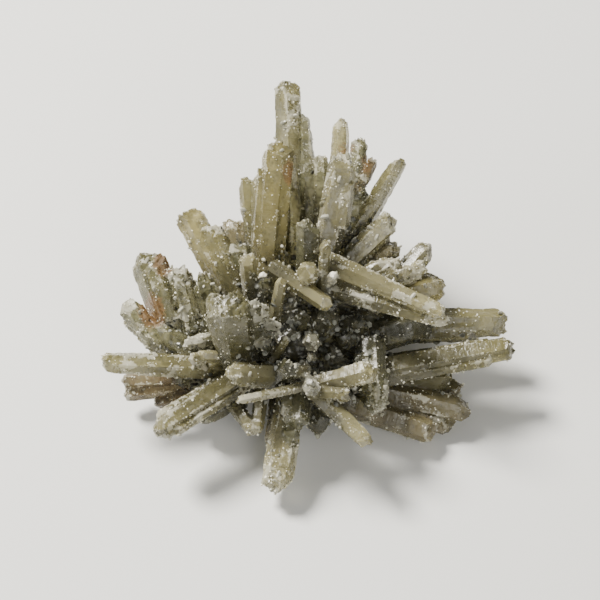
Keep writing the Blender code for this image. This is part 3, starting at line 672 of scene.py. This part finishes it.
# each noise has its scale, detail and roughness, and each layer the span in which it sets in
quartz = {
    "roughness": 0.18,
    "frostRoughness": 0.35,
    "gritRoughness": 0.10,
    "shader": {
        "IOR": 1.544,
        "Transmission Weight": 0.56,
        "Subsurface Weight": 0.25,
        "Subsurface Radius": (1.6 * mm, 1.5 * mm, 1.1 * mm),
        "Subsurface Scale": 1.0,
        "Specular IOR Level": 0.34,
        "Coat Weight": 0.08,
        "Coat Roughness": 0.14,
    },
    "alongStretch": (1.0, 0.12, 1.0),
    "alongNoise": (1.6, 4, 0.6),
    "acrossStretch": (0.25, 2.6, 1.0),
    "acrossNoise": (1.2, 3, 0.6),
    "cloudNoise": (260, 4, 0.6),
    "gritNoise": (1500, 3, 0.6),
    "stainNoise": (150, 4, 0.65),
    "dirtNoise": (1150, 3, 0.7),
    "pitScale": 900,
    "alongShades": ((0.55, 0.55, 0.55), (1, 1, 1)),
    "alongShare": 0.35,
    "veil": {"span": (0.42, 0.68), "share": 0.45, "colour": (0.38, 0.35, 0.20)},
    "stain": {"span": (0.46, 0.66), "share": 0.60, "colour": (0.110, 0.104, 0.058)},
    "dirt": {"span": (0.56, 0.70), "share": 0.50, "colour": (0.070, 0.066, 0.045)},
    "frostAndEdgeHighlight": {"span": (0.93, 1.10), "share": 0.62, "colour": (0.84, 0.81, 0.66)},
    # this dark colour is the crust, and partly painted shade where the crust mask comes from blocked rays
    "crustAndShade": {"span": (0.55, 1.15), "share": 0.85, "colour": (0.080, 0.077, 0.052)},
    "rust": {"span": (1.32, 1.72), "share": 0.9},
    "rustColours": ((0.115, 0.052, 0.022), (0.36, 0.20, 0.080)),
    "specksFrom": {"grit": 0.75, "cloud": 0.45},
    # the edge share is partly a painted highlight along the ridges
    "frostFrom": {"sugar": 0.42, "edge": 0.38},
    "crustCloud": 0.7,
    "rustFrom": {"cloud": 0.8, "grit": 0.9},
    "heightFrom": {"along": 0.5, "across": 0.35, "pits": 0.35, "grit": 0.30},
    "bumpStrength": 0.75,
    "bumpDistance": 0.25 * mm,
}


def weighed(tree, values, weights):
    # the sum of the named values, each times its weight
    total = None
    for name, weight in weights.items():
        part = times(tree, values[name], weight)
        total = part if total is None else plus(tree, total, part)
    return total


def layerMask(tree, value, layer):
    return ramp(tree, value, *layer["span"])


def covered(tree, colour, mask, layer, cover):
    return mixColour(tree, times(tree, mask, layer["share"]), colour, cover)


def quartzMaterial():
    material, shader = newMaterial("smoky quartz")
    tree = material.node_tree
    place = objectPlace(tree)
    streak = attribute(tree, "streak").outputs["Vector"]
    tintAndShade = attribute(tree, "tintAndShade").outputs["Color"]
    values = {
        "along": noiseNode(tree, stretched(tree, streak, quartz["alongStretch"]), *quartz["alongNoise"]),
        "across": noiseNode(tree, stretched(tree, streak, quartz["acrossStretch"]), *quartz["acrossNoise"]),
        "cloud": noiseNode(tree, place, *quartz["cloudNoise"]),
        "grit": noiseNode(tree, place, *quartz["gritNoise"]),
        "pits": cellNode(tree, place, quartz["pitScale"]),
    }
    for name in ("sugar", "edge", "crustAndShade", "rust"):
        values[name] = attribute(tree, name).outputs["Fac"]

    # the body: cloudy veils inside and lengthwise shades
    veil = quartz["veil"]
    colour = covered(tree, tintAndShade, layerMask(tree, values["cloud"], veil), veil, veil["colour"])
    shades = mixColour(tree, values["along"], *quartz["alongShades"])
    colour = mixColour(tree, quartz["alongShare"], colour, shades, "MULTIPLY")

    # grey-green stain in broad patches, and dirt in the pits
    for name in ("stain", "dirt"):
        layer = quartz[name]
        mask = layerMask(tree, noiseNode(tree, place, *quartz[name + "Noise"]), layer)
        colour = covered(tree, colour, mask, layer, layer["colour"])

    # a fine frost where the sugar lies, and whitened edges that are partly worn and partly a painted edge
    # highlight
    specks = weighed(tree, values, quartz["specksFrom"])
    frostAndEdgeHighlight = plus(tree, specks, weighed(tree, values, quartz["frostFrom"]))
    frostAndEdgeHighlight = layerMask(tree, frostAndEdgeHighlight, quartz["frostAndEdgeHighlight"])
    colour = covered(tree, colour, frostAndEdgeHighlight, quartz["frostAndEdgeHighlight"], quartz["frostAndEdgeHighlight"]["colour"])

    # dark crust on the dark spots, and painted shade in the recesses
    crustAndShade = plus(tree, values["crustAndShade"], times(tree, values["cloud"], quartz["crustCloud"]))
    crustAndShade = layerMask(tree, crustAndShade, quartz["crustAndShade"])
    colour = covered(tree, colour, crustAndShade, quartz["crustAndShade"], quartz["crustAndShade"]["colour"])

    rust = plus(tree, values["rust"], weighed(tree, values, quartz["rustFrom"]))
    rust = layerMask(tree, rust, quartz["rust"])
    rustColour = mixColour(tree, values["grit"], *quartz["rustColours"])
    colour = covered(tree, colour, rust, quartz["rust"], rustColour)
    tree.links.new(colour, shader.inputs["Base Color"])

    rough = plus(tree, quartz["roughness"], times(tree, frostAndEdgeHighlight, quartz["frostRoughness"]))
    rough = math2(tree, "ADD", rough, times(tree, values["grit"], quartz["gritRoughness"]), True)
    tree.links.new(rough, shader.inputs["Roughness"])
    setSockets(shader, quartz["shader"])

    bump = tree.nodes.new("ShaderNodeBump")
    bump.inputs["Strength"].default_value = quartz["bumpStrength"]
    bump.inputs["Distance"].default_value = quartz["bumpDistance"]
    tree.links.new(weighed(tree, values, quartz["heightFrom"]), bump.inputs["Height"])
    tree.links.new(bump.outputs[0], shader.inputs["Normal"])
    return material


# size of a copy, the most of them, where they lie, how far sizes vary and how far copies lean
grains = {
    "size": 0.165 * mm,
    "mostPerSquareMetre": 1.4e6,
    "where": "sugar",
    "sizes": (0.45, 1.3),
    "lean": math.pi,
    "seed": 3,
}
crumbs = {
    "size": 0.26 * mm,
    "mostPerSquareMetre": 1.8e5,
    "where": "sugar",
    "sizes": (0.6, 1.25),
    "lean": math.pi,
    "seed": 8,
}
druse = {
    "size": 0.55 * mm,
    "mostPerSquareMetre": 0.8e5,
    "where": "sugar",
    "sizes": (0.5, 1.3),
    "lean": 0.9,
    "seed": 11,
}
# dark scales lie where the crust mask is high, so in the recesses they are partly painted shade
flakes = {
    "size": 0.5 * mm,
    "mostPerSquareMetre": 5.0e5,
    "where": "crustAndShade",
    "sizes": (0.5, 1.4),
    "lean": 0.7,
    "seed": 5,
}


def grainTemplate():
    bm = bmesh.new()
    bmesh.ops.create_icosphere(bm, subdivisions=1, radius=1)
    bmesh.ops.scale(bm, vec=(1.15, 0.8, 0.6), verts=bm.verts)
    return bm


def pointTemplate():
    # a stubby quartz point: six sides and a six-sided tip
    bm = bmesh.new()
    bmesh.ops.create_cone(bm, cap_ends=True, segments=6, radius1=0.62, radius2=0.55, depth=1.6)
    top = max(bm.faces, key=lambda face: face.calc_center_median().z)
    made = bmesh.ops.poke(bm, faces=[top])
    bmesh.ops.translate(bm, vec=(0.08, -0.05, 0.55), verts=made["verts"])
    return bm


def flakeTemplate():
    bm = bmesh.new()
    bmesh.ops.create_cone(bm, cap_ends=True, segments=6, radius1=1, radius2=0.8, depth=0.35)
    return bm


def templateObject(name, bm, material):
    mesh = bpy.data.meshes.new(name)
    bm.to_mesh(mesh)
    bm.free()
    mesh.materials.append(material)
    template = bpy.data.objects.new(name, mesh)
    bpy.context.scene.collection.objects.link(template)
    return template


def scatter(name, host, template, settings):
    # strews copies of the template over the host, thick where the named attribute is high
    lean = settings["lean"]
    group = bpy.data.node_groups.new(name, "GeometryNodeTree")
    group.interface.new_socket("Geometry", in_out="INPUT", socket_type="NodeSocketGeometry")
    group.interface.new_socket("Geometry", in_out="OUTPUT", socket_type="NodeSocketGeometry")
    new, link = group.nodes.new, group.links.new
    source, result = new("NodeGroupInput"), new("NodeGroupOutput")

    amount = new("GeometryNodeInputNamedAttribute")
    amount.data_type = "FLOAT"
    amount.inputs["Name"].default_value = settings["where"]
    thick = new("ShaderNodeMath")
    thick.operation = "MULTIPLY"
    thick.inputs[1].default_value = settings["mostPerSquareMetre"]
    link(amount.outputs["Attribute"], thick.inputs[0])
    spread = new("GeometryNodeDistributePointsOnFaces")
    spread.inputs["Seed"].default_value = settings["seed"]
    link(source.outputs[0], spread.inputs["Mesh"])
    link(thick.outputs[0], spread.inputs["Density"])

    turn = new("FunctionNodeRandomValue")
    turn.data_type = "FLOAT_VECTOR"
    turn.inputs[0].default_value = (-lean, -lean, -math.pi)
    turn.inputs[1].default_value = (lean, lean, math.pi)
    rotate = new("FunctionNodeRotateRotation")
    rotate.rotation_space = "LOCAL"
    link(spread.outputs["Rotation"], rotate.inputs["Rotation"])
    link(turn.outputs[0], rotate.inputs["Rotate By"])
    grow = new("FunctionNodeRandomValue")
    grow.data_type = "FLOAT"
    grow.inputs[2].default_value = settings["size"] * settings["sizes"][0]
    grow.inputs[3].default_value = settings["size"] * settings["sizes"][1]
    grow.inputs["Seed"].default_value = settings["seed"] + 1

    shape = new("GeometryNodeObjectInfo")
    shape.inputs["Object"].default_value = template
    copies = new("GeometryNodeInstanceOnPoints")
    link(spread.outputs["Points"], copies.inputs["Points"])
    link(shape.outputs["Geometry"], copies.inputs["Instance"])
    link(rotate.outputs[0], copies.inputs["Rotation"])
    link(grow.outputs[1], copies.inputs["Scale"])
    real = new("GeometryNodeRealizeInstances")
    link(copies.outputs[0], real.inputs[0])
    link(real.outputs[0], result.inputs[0])

    holder = bpy.data.objects.new("strewn", host.data)
    bpy.context.scene.collection.objects.link(holder)
    strew = holder.modifiers.new(name, "NODES")
    strew.node_group = group
    ready = holder.evaluated_get(bpy.context.evaluated_depsgraph_get())
    mesh = bpy.data.meshes.new_from_object(ready)
    mesh.name = name
    bpy.data.objects.remove(holder)
    for attributeName in [item.name for item in mesh.attributes if item.name in ("tintAndShade", "streak")]:
        mesh.attributes.remove(mesh.attributes[attributeName])
    mesh.materials.clear()
    mesh.materials.append(template.data.materials[0])
    mesh.validate()
    piece = bpy.data.objects.new(name, mesh)
    bpy.context.scene.collection.objects.link(piece)
    bpy.data.objects.remove(template)
    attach(piece, "root")
    print(name, len(mesh.polygons), "faces")
    return piece


sugarLook = {
    "name": "white sugar",
    "noise": (700, 2),
    "colours": ((0.66, 0.62, 0.47), (0.94, 0.92, 0.80)),
    "shader": {
        "Roughness": 0.42,
        "Subsurface Weight": 0.2,
        "Subsurface Radius": (0.3 * mm, 0.3 * mm, 0.25 * mm),
    },
}
druseLook = {
    "name": "small quartz points",
    "noise": (420, 3),
    "span": (0.35, 0.7),
    "colours": ((0.25, 0.24, 0.16), (0.72, 0.70, 0.58)),
    "shader": {"Roughness": 0.3, "IOR": quartz["shader"]["IOR"], "Transmission Weight": 0.3},
}
flakeLook = {
    "name": "dark scales",
    "noise": (500, 3),
    "span": (0.35, 0.72),
    "colours": ((0.040, 0.042, 0.032), (0.36, 0.36, 0.31)),
    "shader": {"Roughness": 0.32},
}


def speckMaterial(look):
    material, shader = newMaterial(look["name"])
    tree = material.node_tree
    cloud = noiseNode(tree, objectPlace(tree), *look["noise"])
    if "span" in look:
        cloud = ramp(tree, cloud, *look["span"])
    tree.links.new(mixColour(tree, cloud, *look["colours"]), shader.inputs["Base Color"])
    setSockets(shader, look["shader"])
    return material


# across and up on the open face in millimetres, then the size of each cream bead against the radius
beads = {
    "radius": 0.8 * mm,
    "bump": 0.45,
    "bumpScale": 2.2,
    "castFrom": 60,
    "places": [(-7.2, 12.6, 1.0), (5.7, 12.8, 0.8)],
}


def makeBeads(host):
    # each bead sits on the crystal that the camera sees at its place
    tree = bvhtree.BVHTree.FromPolygons(
        [vert.co for vert in host.data.vertices], [tuple(face.vertices) for face in host.data.polygons]
    )
    inward = faceToWorld.to_3x3() @ Vector((0, 0, -1))
    bm = bmesh.new()
    for across, up, size in beads["places"]:
        start = faceToWorld @ (Vector((across, up, beads["castFrom"])) * mm)
        hit = tree.ray_cast(start, inward)[0]
        made = bmesh.ops.create_icosphere(bm, subdivisions=3, radius=1)["verts"]
        for vert in made:
            spot = vert.co * beads["bumpScale"] + Vector((across, up, size))
            swell = 1 + beads["bump"] * noise.noise(spot)
            vert.co = hit + vert.co * (swell * size * beads["radius"])
    for face in bm.faces:
        face.smooth = True
    mesh = bpy.data.meshes.new("cream beads")
    bm.to_mesh(mesh)
    bm.free()
    mesh.materials.append(speckMaterial(sugarLook))
    piece = bpy.data.objects.new("cream_beads", mesh)
    bpy.context.scene.collection.objects.link(piece)
    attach(piece, "root")
    print("beads", len(mesh.polygons), "faces")


# each light has its place, size in metres, power in watts and colour
studio = {
    "floorSize": 3.0,
    "floorDrop": 0.05 * mm,
    "floorColour": (0.74, 0.74, 0.72),
    "floorRoughness": 0.65,
    "world": (0.95, 0.95, 0.92),
    "worldStrength": 0.25,
    "aim": (0, 0, 0.02),
    "lights": {
        "key above": ((-0.40, 0.34, 0.66), 0.26, 21, (1.0, 0.97, 0.90)),
        "front fill": ((0.35, -0.7, 0.6), 0.6, 4, (1.0, 0.99, 0.95)),
        "left fill": ((-0.8, -0.2, 0.35), 0.5, 2.5, (1, 1, 1)),
    },
}


def makeFloor():
    bm = bmesh.new()
    bmesh.ops.create_grid(bm, x_segments=1, y_segments=1, size=studio["floorSize"] / 2)
    bmesh.ops.translate(bm, vec=(0, 0, cadBox[0].z - studio["floorDrop"]), verts=bm.verts)
    mesh = bpy.data.meshes.new("floor")
    bm.to_mesh(mesh)
    bm.free()
    material, shader = newMaterial("pale floor")
    setSockets(shader, {"Base Color": (*studio["floorColour"], 1), "Roughness": studio["floorRoughness"]})
    mesh.materials.append(material)
    floor = bpy.data.objects.new("floor", mesh)
    bpy.context.scene.collection.objects.link(floor)


def areaLight(name, place, size, watts, colour):
    data = bpy.data.lights.new(name, "AREA")
    data.shape = "DISK"
    data.size = size
    data.energy = watts
    data.color = colour
    light = bpy.data.objects.new(name, data)
    light.location = place
    toPart = Vector(studio["aim"]) - Vector(place)
    light.rotation_euler = toPart.to_track_quat("-Z", "Y").to_euler()
    bpy.context.scene.collection.objects.link(light)


def makeStudio():
    makeFloor()
    for name, light in studio["lights"].items():
        areaLight(name, *light)
    world = bpy.data.worlds.new("studio")
    world.use_nodes = True
    world.node_tree.nodes["Background"].inputs[0].default_value = (*studio["world"], 1)
    world.node_tree.nodes["Background"].inputs[1].default_value = studio["worldStrength"]
    bpy.context.scene.world = world


camera = {
    "distance": 0.5,
    "frameWidth": 111 * mm,
    "sensor": 36.0,
    "clipStart": 0.05,
    "middle": (-0.4, 8.3, 0),
}


def makeCamera():
    data = bpy.data.cameras.new("camera")
    data.sensor_width = camera["sensor"]
    data.lens = camera["sensor"] * camera["distance"] / camera["frameWidth"]
    data.clip_start = camera["clipStart"]
    eye = bpy.data.objects.new("camera", data)
    middle = Matrix.Translation(Vector(camera["middle"]) * mm)
    eye.matrix_world = faceToWorld @ middle @ Matrix.Translation((0, 0, camera["distance"]))
    bpy.context.scene.collection.objects.link(eye)
    bpy.context.scene.camera = eye


makeCamera()
makeStudio()
print("studio ready")
crystalPiece = makeBody()
crystalPiece.data.materials.clear()
crystalPiece.data.materials.append(quartzMaterial())
print("crystals ready")
makeBeads(crystalPiece)
grain = templateObject("grain", grainTemplate(), speckMaterial(sugarLook))
scatter("white_sugar", crystalPiece, grain, grains)
crumb = templateObject("crumb", grainTemplate(), speckMaterial(sugarLook))
scatter("coarse_sugar", crystalPiece, crumb, crumbs)
point = templateObject("point", pointTemplate(), speckMaterial(druseLook))
scatter("small_points", crystalPiece, point, druse)
flake = templateObject("flake", flakeTemplate(), speckMaterial(flakeLook))
scatter("dark_scales", crystalPiece, flake, flakes)
